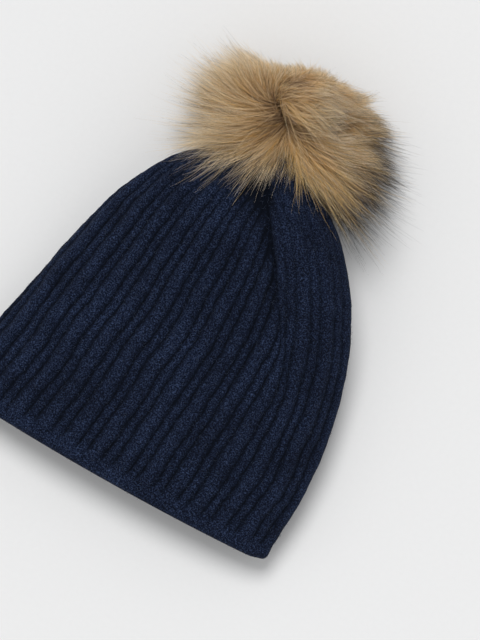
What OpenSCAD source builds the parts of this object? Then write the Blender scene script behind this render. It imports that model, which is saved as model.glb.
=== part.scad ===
// Pom pom beanie, lying flat on its back as on a shelf.
// +Y runs from the hem to the crown, +Z up from the shelf, X across the hat.
// The origin is on the shelf, under the middle of the whole hat with its pom.
// A section across the hat is an oval: half_w wide each way and half_h high each way from mid_z.

/* [Knitted hat] */
// Width across the hem, lying flat
hat_w = 222; // [185:1:267]
// Length from the hem to the top of the crown
hat_l = 214; // [178:1:257]
// Thickness of the ribbed knit
knit_t = 4.5; // [3.7:0.1:5.4]
// Height of the flattened hat at the hem
hem_rise = 32; // [27:1:39]
// Height of the flattened hat across its body
body_rise = 48; // [44:1:58]
// Share of the width lost between hem and crown, before the crown rounds over
side_taper = 0.12; // [0.05:0.01:0.2]
// Width of the plain welt along the hem
welt_w = 10; // [6:1:16]
// Height of the crown's middle above the shelf, where the pom holds it up
crown_rise = 46; // [40:1:50]
// Share of the length at which the crown's rounded cap begins
cap_from = 0.93; // [0.9:0.01:0.95]

/* [Seams and label] */
// Thickness of the yarn that joins the two panels along each side
seam_yarn_d = 2; // [1.6:0.1:2.4]
// Thickness of the raised dart seam inside each panel
dart_yarn_d = 2.4; // [2:0.1:3]
// Width of the blank care label
label_w = 28; // [20:1:34]
// Length of the blank care label, inwards from the hem
label_l = 40; // [30:1:50]
// Thickness of the care label's tape
label_t = 0.5; // [0.4:0.1:0.8]

/* [Press stud on the crown] */
// Radius of the hole that the crown's gathering yarn draws in
gather_r = 8; // [7.6:0.1:9.5]
// Thickness of the gathering yarn
gather_yarn_d = 1.8; // [1.6:0.1:2]
// Radius of the felt patch
patch_r = 14; // [12.5:0.5:16]
// Thickness of the felt patch
patch_t = 1.5; // [1.2:0.1:2]
// Radius of the stud's flange
flange_r = 6.5; // [5.6:0.1:7.8]
// Thickness of the pressed metal
metal_t = 0.8; // [0.7:0.05:1]
// Radius of the stud's bulb
bulb_r = 3.1; // [2.6:0.1:3.7]
// Radius of the stud's neck
neck_r = 2.4; // [2:0.1:2.6]
// Radius of the post that rivets the stud to its backing
post_r = 1.5; // [1.2:0.1:1.8]

/* [Snap socket and tether] */
// Radius of the snap socket
socket_r = 6.3; // [6:0.1:7.5]
// Radius of the bar that the tether turns on
bar_r = 1; // [0.8:0.1:1.2]
// Distance between the tether's two bars
tether_l = 6; // [5.6:0.1:7.2]
// Width of the elastic tether
tether_w = 6; // [5:0.1:7.2]

/* [Pom] */
// Width of the fur across the hat
pom_w = 140; // [118:1:168]
// Height of the fur above the shelf
pom_h = 94; // [80:1:104]
// Length of the fur from its flat base to its far end
pom_l = 53; // [50:1:63]
// Distance from the crown to the fur's flat base
pom_gap = 10; // [9.5:0.1:12]
// Radius of the sewn hide inside the fur
hide_r = 27; // [23:0.5:32]
// Half the hide's length along the hat
hide_half_l = 17; // [14.5:0.5:20]
// Thickness of the hide
hide_t = 1.2; // [1:0.1:1.5]
// Radius of the hide's gathered opening
hide_mouth_r = 10; // [9:0.1:11.4]
// Radius of the plastic base disc
disc_r = 12; // [11.6:0.1:14]
// Thickness of the base disc
disc_t = 1.6; // [1.3:0.1:2]

/* [Hidden] */

// Clearances
loose = 0.3;       // between pieces that move past each other
snug = 0.05;       // radial, of a bar in its eye and of a bulb in its spring
tight = 0.01;      // radial, of a bar held in its ears
set_apart = 0.2;   // between sewn pieces of one body
seam_gap = seam_yarn_d / 2 + 2 * loose;

// Facets of the smooth knitted shapes
panel_rows = 12;
panel_cols = 24;
cap_rows = 8;
yarn_sides = 8;
pom_rows = 14;
pom_cols = 36;
round_fn = 48;

// The knitted surface
crown_hole_run = 4;               // flat ring of knit between the cap's curve and the gathered hole
end_r = gather_r + crown_hole_run;
cap_y = cap_from * hat_l;
lift_from = 0.45;                 // share of the length at which the hat begins to leave the shelf
full_from = 0.6;                  // share of the length at which the hat reaches its full height
press = 1.5;                      // how far the knit is pressed flat by the shelf
square_hem = 2.6;                 // how square the oval is at the hem, where 2 is a plain ellipse

// Places along the hat, measured from the hem
patch_y = hat_l;
flange_y = patch_y + patch_t;
neck_y = flange_y + metal_t;
neck_l = 1.6;
bulb_slim = 1.2;                  // length of the bulb for its radius
bulb_l = bulb_r * bulb_slim;
bulb_y = neck_y + neck_l + bulb_r / 2;
socket_y = neck_y + loose;
bulb_end_y = bulb_y + bulb_l / 2;
socket_l = bulb_end_y + loose - socket_y;
cap_disc_y = socket_y + socket_l;
cap_disc_t = metal_t;
eye_wall = 1.2;
eye_r = bar_r + eye_wall;
tether_bar_y = cap_disc_y + cap_disc_t + loose + eye_r;
anchor_y = tether_bar_y + tether_l;
disc_y = anchor_y + eye_r + loose;
hide_inner_r = hide_r - hide_t;
hide_inner_half = hide_half_l - hide_t;
disc_seat = hide_inner_half * sqrt(1 - pow((disc_r + set_apart) / hide_inner_r, 2));
hide_y = disc_y + disc_seat - set_apart;
fur_base_y = hat_l + pom_gap;
fur_widest = 10;                  // from the fur's flat base to its widest ring
total_l = hat_l + pom_gap + pom_l;
hem_y = -total_l / 2;
ear_t = 1.5;
ear_in = tether_w / 2 + loose;
bar_l = 2 * (ear_in + ear_t);

knit_colour = [0.08, 0.11, 0.18];
yarn_colour = [0.11, 0.14, 0.22];
metal_colour = [0.62, 0.52, 0.34];
fur_colour = [0.58, 0.49, 0.37];

function smooth(t) = let(c = min(1, max(0, t))) c * c * (3 - 2 * c);
function power(v, p) = sign(v) * pow(abs(v), p);

// The outer surface has inset 0, the inner surface has an inset of the knit's thickness
function share(y, inset) = min(1, max(0, y / (hat_l - inset)));
function flat_half(y) = hem_rise / 2
    + (body_rise - hem_rise) / 2 * sin(90 * min(1, y / (full_from * hat_l)));
function mid_z(y) = flat_half(y)
    + (crown_rise - flat_half(y)) * smooth((y / hat_l - lift_from) / (1 - lift_from));
function half_w(y, inset) = let(
    u = share(y, inset),
    wide2 = pow(hat_w / 2 - inset, 2) - end_r * end_r)
    sqrt(end_r * end_r + wide2 * pow(1 - side_taper * u, 2) * (1 - pow(u, 3)));
function half_h(y, inset) = let(
    u = share(y, inset),
    high2 = pow(flat_half(y) - inset, 2) - end_r * end_r)
    sqrt(end_r * end_r + high2 * (1 - pow(u, 8)));
function squareness(y) = square_hem + (2 - square_hem) * share(y, 0);
function pressed(y) = press * (1 - pow(share(y, 0), 2));
function floor_z(z, inset) = inset > 0 ? max(inset, z) : z;

// A point of the knit at angle a round the hat: 0 at the +X side, 90 at the front's middle.
// The side is 1 for the front half and -1 for the half that lies on the shelf.
function knit_point(y, a, inset, gap, side) = let(
    power_of = 2 / squareness(y),
    across = power(cos(a), power_of),
    up = power(sin(a), power_of),
    high = half_h(y, inset) - gap,
    z = side > 0 ? mid_z(y) + gap + high * up : mid_z(y) - gap + (high + pressed(y)) * up)
    [half_w(y, inset) * across, y, side > 0 ? z : floor_z(z, inset)];

// Height of the front panel's inside above a point at x, y
function front_inside_z(x, y) = let(e = squareness(y), w = half_w(y, knit_t))
    mid_z(y) + seam_gap
    + (half_h(y, knit_t) - seam_gap) * pow(1 - pow(min(1, abs(x) / w), e), 1 / e);
function back_inside_z(x, y) = let(e = squareness(y), w = half_w(y, knit_t))
    max(knit_t, mid_z(y) - seam_gap
    - (half_h(y, knit_t) - seam_gap + pressed(y)) * pow(1 - pow(min(1, abs(x) / w), e), 1 / e));

// Two triangles of the four-sided patch between grid corners
function quad(a, b, c, d, flip) = flip ? [[a, c, b], [a, d, c]] : [[a, b, c], [a, c, d]];

// A half shell between y0 and y1
module half_shell(y0, y1, rows, side) {
    cols = panel_cols;
    a0 = side > 0 ? 0 : 180;
    row = cols + 1;
    sheet = row * (rows + 1);
    points = [
        for (inset = [0, knit_t], i = [0 : rows], j = [0 : cols])
            knit_point(y0 + (y1 - y0) * i / rows, a0 + 180 * j / cols, inset, seam_gap, side)
    ];
    skins = [
        for (s = [0, 1], i = [0 : rows - 1], j = [0 : cols - 1])
            let(p = s * sheet + i * row + j)
            each quad(p, p + 1, p + row + 1, p + row, s == 1)
    ];
    ends = [
        for (i = [0, rows], j = [0 : cols - 1])
            let(p = i * row + j)
            each quad(p, p + sheet, p + sheet + 1, p + 1, i == rows)
    ];
    sides = [
        for (j = [0, cols], i = [0 : rows - 1])
            let(p = i * row + j)
            each quad(p, p + row, p + row + sheet, p + sheet, j == cols)
    ];
    translate([0, hem_y, 0]) polyhedron(points, concat(skins, ends, sides), convexity = 6);
}

// The half that lies on the shelf, with its underside cut to one plane
module lying_half(y0, y1, rows) {
    below = 20;
    difference() {
        half_shell(y0, y1, rows, -1);
        translate([-hat_w, hem_y - below, -below]) cube([2 * hat_w, hat_l + 2 * below, below]);
    }
}

module back_panel() {
    color(knit_colour) lying_half(welt_w + set_apart, cap_y - set_apart, panel_rows);
}

module back_hem() {
    color(knit_colour) lying_half(0, welt_w, 2);
}

module front_panel() {
    color(knit_colour) half_shell(welt_w + set_apart, cap_y - loose, panel_rows, 1);
}

module front_hem() {
    color(knit_colour) half_shell(0, welt_w, 2, 1);
}

// The rounded cap of the crown, drawn in to a hole that is gathered by its yarn
module crown() {
    cols = 2 * panel_cols;
    rings = cap_rows + 2;
    function ring_y(i, inset) = let(end = hat_l - inset, w = min(1, i / cap_rows))
        end - (end - cap_y) * pow(1 - w, 2);
    points = [
        for (inset = [0, knit_t], i = [0 : rings - 1], j = [0 : cols - 1])
            let(a = 360 * j / cols, y = ring_y(i, inset))
            i <= cap_rows
                ? knit_point(y, a, inset, 0, a <= 180 ? 1 : -1)
                : [gather_r * cos(a), y, crown_rise + gather_r * sin(a)]
    ];
    sheet = rings * cols;
    skins = [
        for (s = [0, 1], i = [0 : rings - 2], j = [0 : cols - 1])
            let(p = s * sheet + i * cols, k = (j + 1) % cols)
            each quad(p + j, p + k, p + cols + k, p + cols + j, s == 1)
    ];
    rims = [
        for (i = [0, rings - 1], j = [0 : cols - 1])
            let(p = i * cols, k = (j + 1) % cols)
            each quad(p + j, p + sheet + j, p + sheet + k, p + k, i > 0)
    ];
    color(knit_colour) translate([0, hem_y, 0])
        polyhedron(points, concat(skins, rims), convexity = 6);
}

// A yarn swept along a path that runs mainly along Y
module yarn(path, r) {
    n = yarn_sides;
    last = len(path) - 1;
    points = [
        for (p = path, k = [0 : n - 1])
            p + [r * cos(360 * k / n), 0, r * sin(360 * k / n)]
    ];
    walls = [
        for (i = [0 : last - 1], k = [0 : n - 1])
            let(a = i * n + k, b = i * n + (k + 1) % n)
            each quad(a, b, b + n, a + n, false)
    ];
    near = [for (k = [1 : n - 2]) [0, k + 1, k]];
    far = [for (k = [1 : n - 2]) [last * n, last * n + k, last * n + k + 1]];
    translate([0, hem_y, 0]) polyhedron(points, concat(walls, near, far), convexity = 4);
}

function seam_path(side) = let(rings = 18, start = 1, stop = cap_y - 1)
    [for (i = [0 : rings])
        let(y = start + (stop - start) * i / rings)
        [side * (half_w(y, 0) + half_w(y, knit_t)) / 2, y, mid_z(y)]];

module left_side_seam() {
    color(yarn_colour) yarn(seam_path(-1), seam_yarn_d / 2);
}

module right_side_seam() {
    color(yarn_colour) yarn(seam_path(1), seam_yarn_d / 2);
}

// The dart runs from the crown's middle outwards and down, and ends about halfway
dart_top = 0.91;
dart_end = 0.58;
dart_reach = 0.42;
dart_rings = 9;
dart_y = [for (i = [0 : dart_rings]) hat_l * (dart_top + (dart_end - dart_top) * i / dart_rings)];
dart_x = [for (i = [0 : dart_rings]) hat_w / 2 * dart_reach * i / dart_rings];

module front_dart_seam() {
    drop = dart_yarn_d / 2 + 2 * set_apart;
    color(yarn_colour)
        yarn([for (i = [dart_rings : -1 : 0])
            [dart_x[i], dart_y[i], front_inside_z(dart_x[i], dart_y[i]) - drop]],
            dart_yarn_d / 2);
}

module back_dart_seam() {
    lift = dart_yarn_d / 2 + 2 * set_apart;
    color(yarn_colour)
        yarn([for (i = [dart_rings : -1 : 0])
            [-dart_x[i], dart_y[i], back_inside_z(dart_x[i], dart_y[i]) + lift]],
            dart_yarn_d / 2);
}

module care_label() {
    color([0.92, 0.91, 0.88])
        translate([-label_w / 2, hem_y + 1, knit_t + set_apart])
        cube([label_w, label_l, label_t]);
}

// Children are turned about +Z and set along the hat's axis at length y
module on_axis(y) {
    translate([0, hem_y + y, crown_rise]) rotate([-90, 0, 0]) children();
}

module washer(outer_r, inner_r, t) {
    difference() {
        cylinder(r = outer_r, h = t, $fn = round_fn);
        translate([0, 0, -t]) cylinder(r = inner_r, h = 3 * t, $fn = round_fn);
    }
}

module loop(ring_r, wire_r) {
    rotate_extrude($fn = round_fn) translate([ring_r, 0]) circle(r = wire_r, $fn = 24);
}

module crown_gathering_yarn() {
    yarn_r = gather_yarn_d / 2;
    color(yarn_colour)
        on_axis(hat_l - metal_t - yarn_r - loose) loop(gather_r - yarn_r - set_apart / 2, yarn_r);
}

module crown_patch() {
    color(knit_colour) on_axis(patch_y) washer(patch_r, post_r + snug, patch_t);
}

// The rivet's turned-over head holds the backing against the patch
rivet_t = 0.4;
rivet_lip = 0.7;
rivet_r = post_r + rivet_lip;

module snap_stud() {
    shoulder = 0.42;              // share of the bulb's length from its middle to the ends of its round
    color(metal_colour) {
        on_axis(flange_y) cylinder(r = flange_r, h = metal_t, $fn = round_fn);
        on_axis(neck_y) cylinder(r = neck_r, h = bulb_y - neck_y, $fn = round_fn);
        on_axis(bulb_y - bulb_l / 2) rotate_extrude($fn = round_fn) polygon([
            [0, 0], [neck_r, 0],
            for (a = [-60 : 15 : 60]) [neck_r + (bulb_r - neck_r) * cos(a),
                bulb_l * (0.5 + shoulder * sin(a) / sin(60))],
            [neck_r * 0.8, bulb_l], [0, bulb_l]
        ]);
        on_axis(patch_y - metal_t)
            cylinder(r = post_r, h = patch_t + 1.5 * metal_t, $fn = round_fn);
        on_axis(patch_y - metal_t - rivet_t) cylinder(r = rivet_r, h = rivet_t, $fn = round_fn);
    }
}

module stud_backing() {
    backing_r = gather_r - 2;
    color(metal_colour) on_axis(patch_y - metal_t) washer(backing_r, post_r + snug, metal_t);
}

// The open spring ring grips the bulb inside the socket
spring_wire = 0.5;
spring_r = bulb_r + snug + spring_wire;

module socket_spring() {
    opening = 40;
    color(metal_colour) on_axis(bulb_y)
        rotate([0, 0, opening / 2])
        rotate_extrude(angle = 360 - opening, $fn = round_fn)
        translate([spring_r, 0]) circle(r = spring_wire, $fn = 24);
}

module snap_socket() {
    groove_r = spring_r + spring_wire + loose;
    groove_l = 2 * (spring_wire + loose / 2);
    color(metal_colour) difference() {
        on_axis(socket_y) cylinder(r = socket_r, h = socket_l, $fn = round_fn);
        on_axis(socket_y - 1) cylinder(r = bulb_r + loose, h = socket_l + 2, $fn = round_fn);
        on_axis(bulb_y - groove_l / 2) cylinder(r = groove_r, h = groove_l, $fn = round_fn);
    }
}

// A rounded ear that holds a bar, standing on a disc at z = foot and reaching a bar at z = 0
module ear(foot) {
    rotate([0, 90, 0]) cylinder(r = eye_r, h = ear_t, $fn = round_fn);
    translate([0, -eye_r, min(foot, 0)]) cube([ear_t, 2 * eye_r, abs(foot)]);
}

module ears(foot) {
    for (side = [0, 1]) mirror([side, 0, 0]) translate([ear_in, 0, 0]) ear(foot);
}

module bar_hole() {
    translate([-bar_l, 0, 0]) rotate([0, 90, 0]) cylinder(r = bar_r + tight, h = 2 * bar_l, $fn = round_fn);
}

module socket_cap() {
    foot = cap_disc_y + cap_disc_t - tether_bar_y;
    color(metal_colour) difference() {
        union() {
            on_axis(cap_disc_y) cylinder(r = socket_r, h = cap_disc_t, $fn = round_fn);
            on_axis(tether_bar_y) ears(foot);
        }
        on_axis(tether_bar_y) bar_hole();
    }
}

module bar() {
    translate([-bar_l / 2, 0, 0]) rotate([0, 90, 0]) cylinder(r = bar_r, h = bar_l, $fn = round_fn);
}

module tether_bar() {
    color(metal_colour) on_axis(tether_bar_y) bar();
}

// The elastic tab loops round one bar across the hat and one bar up through it
module elastic_tether() {
    color([0.1, 0.1, 0.11]) on_axis(tether_bar_y) difference() {
        union() {
            translate([-tether_w / 2, 0, 0]) rotate([0, 90, 0])
                cylinder(r = eye_r, h = tether_w, $fn = round_fn);
            translate([0, tether_w / 2, tether_l]) rotate([90, 0, 0])
                cylinder(r = eye_r, h = tether_w, $fn = round_fn);
            translate([-eye_r, -eye_r, 0]) cube([2 * eye_r, 2 * eye_r, tether_l]);
        }
        translate([-tether_w, 0, 0]) rotate([0, 90, 0])
            cylinder(r = bar_r + snug, h = 2 * tether_w, $fn = round_fn);
        translate([0, tether_w, tether_l]) rotate([90, 0, 0])
            cylinder(r = bar_r + snug, h = 2 * tether_w, $fn = round_fn);
    }
}

module base_disc() {
    color([0.12, 0.12, 0.13]) difference() {
        union() {
            on_axis(disc_y) cylinder(r = disc_r, h = disc_t, $fn = round_fn);
            on_axis(anchor_y) rotate([0, 0, 90]) ears(disc_y - anchor_y);
        }
        on_axis(anchor_y) rotate([0, 0, 90]) bar_hole();
    }
}

module anchor_bar() {
    color(metal_colour) on_axis(anchor_y) rotate([0, 0, 90]) bar();
}

// Half outline of a closed oval of revolution, cut off where it is narrower than mouth_r
function oval(r, half, mouth_r) = let(steps = 20, from = -acos(mouth_r / r))
    [for (i = [0 : steps]) let(a = from + (90 - from) * i / steps) [r * cos(a), half * sin(a)]];

// The oval cut flat at its mouth and filled to the axis
module filled_oval(r, half, mouth_r) {
    shape = oval(r, half, mouth_r);
    rotate_extrude($fn = round_fn) polygon(concat([[0, shape[0][1]]], shape));
}

module pom_stuffing() {
    stuffing_r = hide_inner_r - set_apart;
    stuffing_half = hide_inner_half - set_apart;
    color([0.93, 0.93, 0.9]) difference() {
        on_axis(hide_y) filled_oval(stuffing_r, stuffing_half, hide_mouth_r);
        on_axis(disc_y + disc_t + set_apart - hide_half_l)
            cylinder(r = hide_r, h = hide_half_l, $fn = round_fn);
    }
}

module fur_hide() {
    inner = oval(hide_inner_r, hide_inner_half, hide_mouth_r);
    outer = oval(hide_r, hide_half_l, hide_mouth_r);
    steps = len(inner) - 1;
    color([0.82, 0.76, 0.66]) on_axis(hide_y) rotate_extrude($fn = round_fn)
        polygon(concat(outer, [for (i = [steps : -1 : 0]) inner[i]]));
}

module hide_gathering_thread() {
    thread_r = 0.5;
    mouth = hide_half_l * sin(acos(hide_mouth_r / hide_r)) - hide_t / 2;
    color([0.85, 0.82, 0.74]) on_axis(hide_y - mouth) loop(hide_mouth_r - thread_r - set_apart, thread_r);
}

// The pile of fur: an oval with a flat base, hollow where the hide and the tether sit
module fur_coat() {
    reach = pom_l - fur_widest;
    start = -asin(fur_widest / reach);
    rings = [for (i = [0 : pom_rows - 1]) start + (90 - start) * i / pom_rows];
    points = concat(
        [for (a = rings, j = [0 : pom_cols - 1])
            [pom_w / 2 * cos(a) * cos(360 * j / pom_cols),
                reach * sin(a),
                pom_h / 2 * cos(a) * sin(360 * j / pom_cols)]],
        [[0, reach, 0]]);
    tip = len(points) - 1;
    walls = [
        for (i = [0 : pom_rows - 2], j = [0 : pom_cols - 1])
            let(p = i * pom_cols, k = (j + 1) % pom_cols)
            each quad(p + j, p + k, p + pom_cols + k, p + pom_cols + j, false)
    ];
    top = (pom_rows - 1) * pom_cols;
    end_cap = [for (j = [0 : pom_cols - 1]) [top + j, top + (j + 1) % pom_cols, tip]];
    base = [[for (j = [pom_cols - 1 : -1 : 0]) j]];
    color(fur_colour) difference() {
        translate([0, hem_y + fur_base_y + fur_widest, pom_h / 2])
            polyhedron(points, concat(walls, end_cap, base), convexity = 4);
        on_axis(hide_y) filled_oval(hide_r + set_apart, hide_half_l + set_apart, hide_mouth_r);
        on_axis(fur_base_y - 1) cylinder(r = disc_r, h = disc_y - fur_base_y + 1, $fn = round_fn);
    }
}

back_panel();
back_hem();
back_dart_seam();
left_side_seam();
right_side_seam();
crown();
crown_gathering_yarn();
crown_patch();
snap_stud();
stud_backing();
care_label();
front_panel();
front_hem();
front_dart_seam();
socket_spring();
snap_socket();
socket_cap();
tether_bar();
elastic_tether();
base_disc();
anchor_bar();
pom_stuffing();
fur_hide();
hide_gathering_thread();
fur_coat();
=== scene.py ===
import math

import bpy
import numpy as np
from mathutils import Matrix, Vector


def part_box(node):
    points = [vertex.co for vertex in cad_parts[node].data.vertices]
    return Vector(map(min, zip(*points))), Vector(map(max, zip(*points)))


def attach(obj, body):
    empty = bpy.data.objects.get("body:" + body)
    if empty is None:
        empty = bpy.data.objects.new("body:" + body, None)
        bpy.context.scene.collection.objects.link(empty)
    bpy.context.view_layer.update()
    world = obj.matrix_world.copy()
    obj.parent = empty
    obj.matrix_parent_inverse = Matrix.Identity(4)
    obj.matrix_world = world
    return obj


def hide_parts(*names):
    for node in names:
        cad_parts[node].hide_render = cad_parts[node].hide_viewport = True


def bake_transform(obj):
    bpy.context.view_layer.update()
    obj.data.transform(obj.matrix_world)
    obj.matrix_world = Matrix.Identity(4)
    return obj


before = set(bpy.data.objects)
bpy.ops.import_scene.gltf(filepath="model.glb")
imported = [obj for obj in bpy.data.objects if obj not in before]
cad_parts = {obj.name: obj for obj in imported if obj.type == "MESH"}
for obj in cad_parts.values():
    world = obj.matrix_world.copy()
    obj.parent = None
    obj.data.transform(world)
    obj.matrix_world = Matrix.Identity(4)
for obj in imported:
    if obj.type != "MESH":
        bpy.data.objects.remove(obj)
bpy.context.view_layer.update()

# Sizes are in millimetres here. y is measured from the hem along the hat, x across it, z up from the table.
MM = 0.001


def box_mm(node):
    """A node's box in millimetres."""
    lo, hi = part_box(node)
    return np.array(lo) / MM, np.array(hi) / MM


# ---------------------------------------------------------------- sizes read from the frame
HEM_LO, HEM_HI = box_mm("back_hem")
CROWN_LO, CROWN_HI = box_mm("crown")
PATCH_LO, PATCH_HI = box_mm("crown_patch")
HIDE_LO, HIDE_HI = box_mm("fur_hide")
COAT_HI = box_mm("fur_coat")[1]
LABEL_LO, LABEL_HI = box_mm("care_label")

HEM_Y = HEM_LO[1]
HAT_L = CROWN_HI[1] - HEM_Y
HAT_W = HEM_HI[0] - HEM_LO[0]
CAP_Y = CROWN_LO[1] - HEM_Y
CROWN_Z = (PATCH_LO[2] + PATCH_HI[2]) / 2
HEM_RISE = box_mm("front_hem")[1][2] - 1.0   # the welt's top edge, less its rise along the welt
BODY_RISE = 48.0

# ---------------------------------------------------------------- the knit's own sizes
KNIT_T = 4.5
GATHER_R = 8.0
END_R = 12.0
SIDE_TAPER = 0.12
LIFT_FROM = 0.45
FULL_FROM = 0.6
PRESS = 1.5
SQUARE_HEM = 2.6
HEM_BOW = 3.2            # how far the hem's middle lies out past its corners
HEM_CORNER = 1.8         # how far the hem's corners are rounded back
SIDE_SLACK = 0.014       # share of the width that the sides fall in by

RIB_REPEAT = 17.4        # one wide rib and one narrow rib
WIDE_RIB = 10.8
WIDE_RISE = 2.3
NARROW_RISE = 1.2
GROOVE_DEPTH = 1.6       # how far a groove's floor lies under the panel's mean surface
RIB_CENTRE = 18.0        # the ribs draw together towards this line
RIB_DRAW = 0.72          # share of the hat's narrowing that the ribs take up


def smooth(t):
    c = np.clip(t, 0.0, 1.0)
    return c * c * (3 - 2 * c)


def share(y, inset):
    return np.clip(y / (HAT_L - inset), 0.0, 1.0)


def flat_half(y):
    rise = np.sin(np.radians(90 * np.minimum(1.0, y / (FULL_FROM * HAT_L))))
    return HEM_RISE / 2 + (BODY_RISE - HEM_RISE) / 2 * rise


def mid_z(y):
    lift = smooth((y / HAT_L - LIFT_FROM) / (1 - LIFT_FROM))
    return flat_half(y) + (CROWN_Z - flat_half(y)) * lift


def half_w(y, inset=0.0):
    u = share(y, inset)
    wide2 = (HAT_W / 2 - inset) ** 2 - END_R ** 2
    return np.sqrt(END_R ** 2 + wide2 * (1 - SIDE_TAPER * u) ** 2 * (1 - u ** 3))


def half_h(y, inset=0.0):
    u = share(y, inset)
    high2 = (flat_half(y) - inset) ** 2 - END_R ** 2
    return np.sqrt(END_R ** 2 + high2 * (1 - u ** 8))


def lean_x(y):
    """The hat lies a little to its right across the middle of its body."""
    return 8.0 * np.sin(np.pi * np.clip(y / HAT_L, 0, 1) ** 0.85) ** 1.3


def section(y, angle):
    """Points of the oval at length y, where the angle is 0 at the right fold and 90 at the front's middle."""
    power = 2 / (SQUARE_HEM + (2 - SQUARE_HEM) * share(y, 0))
    c, s = np.cos(angle), np.sin(angle)
    across = np.sign(c) * np.abs(c) ** power
    up = np.sign(s) * np.abs(s) ** power
    pressed = PRESS * (1 - share(y, 0) ** 2)
    high = np.where(up >= 0, half_h(y), half_h(y) + pressed)
    z = mid_z(y) + high * up
    z = np.where(up < 0, np.maximum(z, 0.0), z)
    return half_w(y) * across, z


def wander(a, b, step_a, step_b, seed):
    """Smooth noise from -1 to 1 over two lengths, from a seeded lattice."""
    size = 64
    lattice = np.random.default_rng(seed).uniform(-1, 1, (size, size))
    p, q = a / step_a + 31.7, b / step_b + 17.3
    i, j = np.floor(p).astype(int), np.floor(q).astype(int)
    f, g = smooth(p - i), smooth(q - j)

    def at(di, dj):
        return lattice[(i + di) % size, (j + dj) % size]

    low = at(0, 0) * (1 - f) + at(1, 0) * f
    high = at(0, 1) * (1 - f) + at(1, 1) * f
    return low * (1 - g) + high * g


# ---------------------------------------------------------------- ribs
DART_TOP = (1.0, 196.0)
DART_END = (46.0, 124.0)


def dart_x(y):
    slope = (DART_END[0] - DART_TOP[0]) / (DART_END[1] - DART_TOP[1])
    return DART_TOP[0] + slope * (y - DART_TOP[1])


def rib_place(s, y, reach, reach0):
    """Where a point came from along the hem, so that lines of equal place are the ribs.

    Left of the dart the ribs draw together. Right of it they run along the right fold. s is the distance
    round the front from its middle, and reach the distance from the middle to the fold at this length."""
    s = s + 1.3 * wander(s, y, 38, 26, 5) + 0.55 * wander(s, y, 13, 9, 6) + 0.45 * wander(s, y, 4.0, 3.2, 7)
    drawn = 1 - RIB_DRAW * (1 - reach / reach0)
    left = RIB_CENTRE + (s - RIB_CENTRE) / drawn
    right = reach0 - (reach - s)
    width = 3 + 42 * (1 - smooth((y - 60) / 75))
    mix = smooth((s - dart_x(y)) / width + 0.5)
    return left + (right - left) * mix


def rib_form(place):
    """Height of the knit over a groove's floor, for a place along the hem, and how far up a rib's rounded top
    the place lies, which keeps it out of the painted groove shade; narrow ribs keep a little more of that
    shade.
    """
    p = np.mod(place, RIB_REPEAT)
    wide = p < WIDE_RIB
    t = np.where(wide, p / WIDE_RIB, (p - WIDE_RIB) / (RIB_REPEAT - WIDE_RIB))
    rise = np.where(wide, WIDE_RISE, NARROW_RISE)
    round_top = np.sin(np.pi * t) ** 0.62
    return rise * round_top, round_top * np.where(wide, 1.0, 0.88)


def relief(s, y, reach, reach0, seed):
    """How far the felted ribs stand out of the mean surface, and how much painted shade darkens a point."""
    height, crest = rib_form(rib_place(s, y, reach, reach0))
    edge = smooth((y - 3.5) / 11)
    past = s - dart_x(y)
    near_crown = smooth((y - 0.95 * HAT_L) / (0.05 * HAT_L))
    fade = edge * (1 - 0.75 * near_crown) * (1 - 0.28 * smooth((y - 140) / 45))
    fade = fade * (1 - 0.28 * smooth((past + 3) / 12) * smooth((y - 90) / 50))
    bumps = 0.22 * wander(s, y, 4.5, 6.5, seed + 1) + 0.16 * wander(s, y, 2.2, 2.8, seed + 2)
    swell = 0.7 * wander(s, y, 55, 40, seed + 3)
    spread = np.where(past < 0, 8.0, 3.2)
    dart = np.exp(-(past / spread) ** 2) * smooth((y - 112) / 60) * smooth((216 - y) / 12)
    seam = np.exp(-((reach - np.abs(s)) / 2.0) ** 2)
    even = (1 - edge) * 0.4
    out = fade * (height - GROOVE_DEPTH) + even + bumps + swell - 2.0 * dart - 1.5 * seam
    # A painted shadow of the pom on the crown, just left of the dart.
    pom_shadow = np.exp(-((s + 3) / 9) ** 2 - ((y - 193) / 13) ** 2)
    # The second value is painted shade: darker in the grooves off the rib crests, fading with the relief,
    # along the dart and side seam creases, and in the pom's painted shadow on the crown.
    painted_shade = np.clip(fade * (1 - crest) + 0.6 * dart + 0.5 * seam + 0.75 * pom_shadow, 0, 1)
    return out, painted_shade


# ---------------------------------------------------------------- making objects
def link(obj):
    bpy.context.scene.collection.objects.link(obj)
    return obj


def piece(name, points, faces, material, attributes=None):
    """A mesh object from points in millimetres."""
    mesh = bpy.data.meshes.new(name)
    place = np.array(points, float)
    mesh.from_pydata((place * MM).tolist(), [], faces)
    mesh.validate()
    mesh.shade_smooth()
    mesh.materials.append(material)
    for key, values in (attributes or {}).items():
        flat = np.array(values, np.float32)
        kind, field = ("FLOAT_VECTOR", "vector") if flat.ndim == 2 else ("FLOAT", "value")
        mesh.attributes.new(key, kind, "POINT").data.foreach_set(field, flat.ravel())
    return link(bpy.data.objects.new(name, mesh))


def evaluated_piece(source, name):
    """A plain mesh piece from an object's modifiers; the source is removed."""
    graph = bpy.context.evaluated_depsgraph_get()
    mesh = bpy.data.meshes.new_from_object(source.evaluated_get(graph), depsgraph=graph)
    mesh.name = name
    made = link(bpy.data.objects.new(name, mesh))
    mesh.transform(source.matrix_world)
    bpy.data.objects.remove(source, do_unlink=True)
    made.name = name
    return made


# ---------------------------------------------------------------- nodes and colours
def colour(text):
    """An sRGB hex value as linear red, green, blue and alpha."""
    parts = [int(text[i:i + 2], 16) / 255 for i in (1, 3, 5)]
    return tuple(v / 12.92 if v <= 0.04045 else ((v + 0.055) / 1.055) ** 2.4 for v in parts) + (1.0,)


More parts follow.
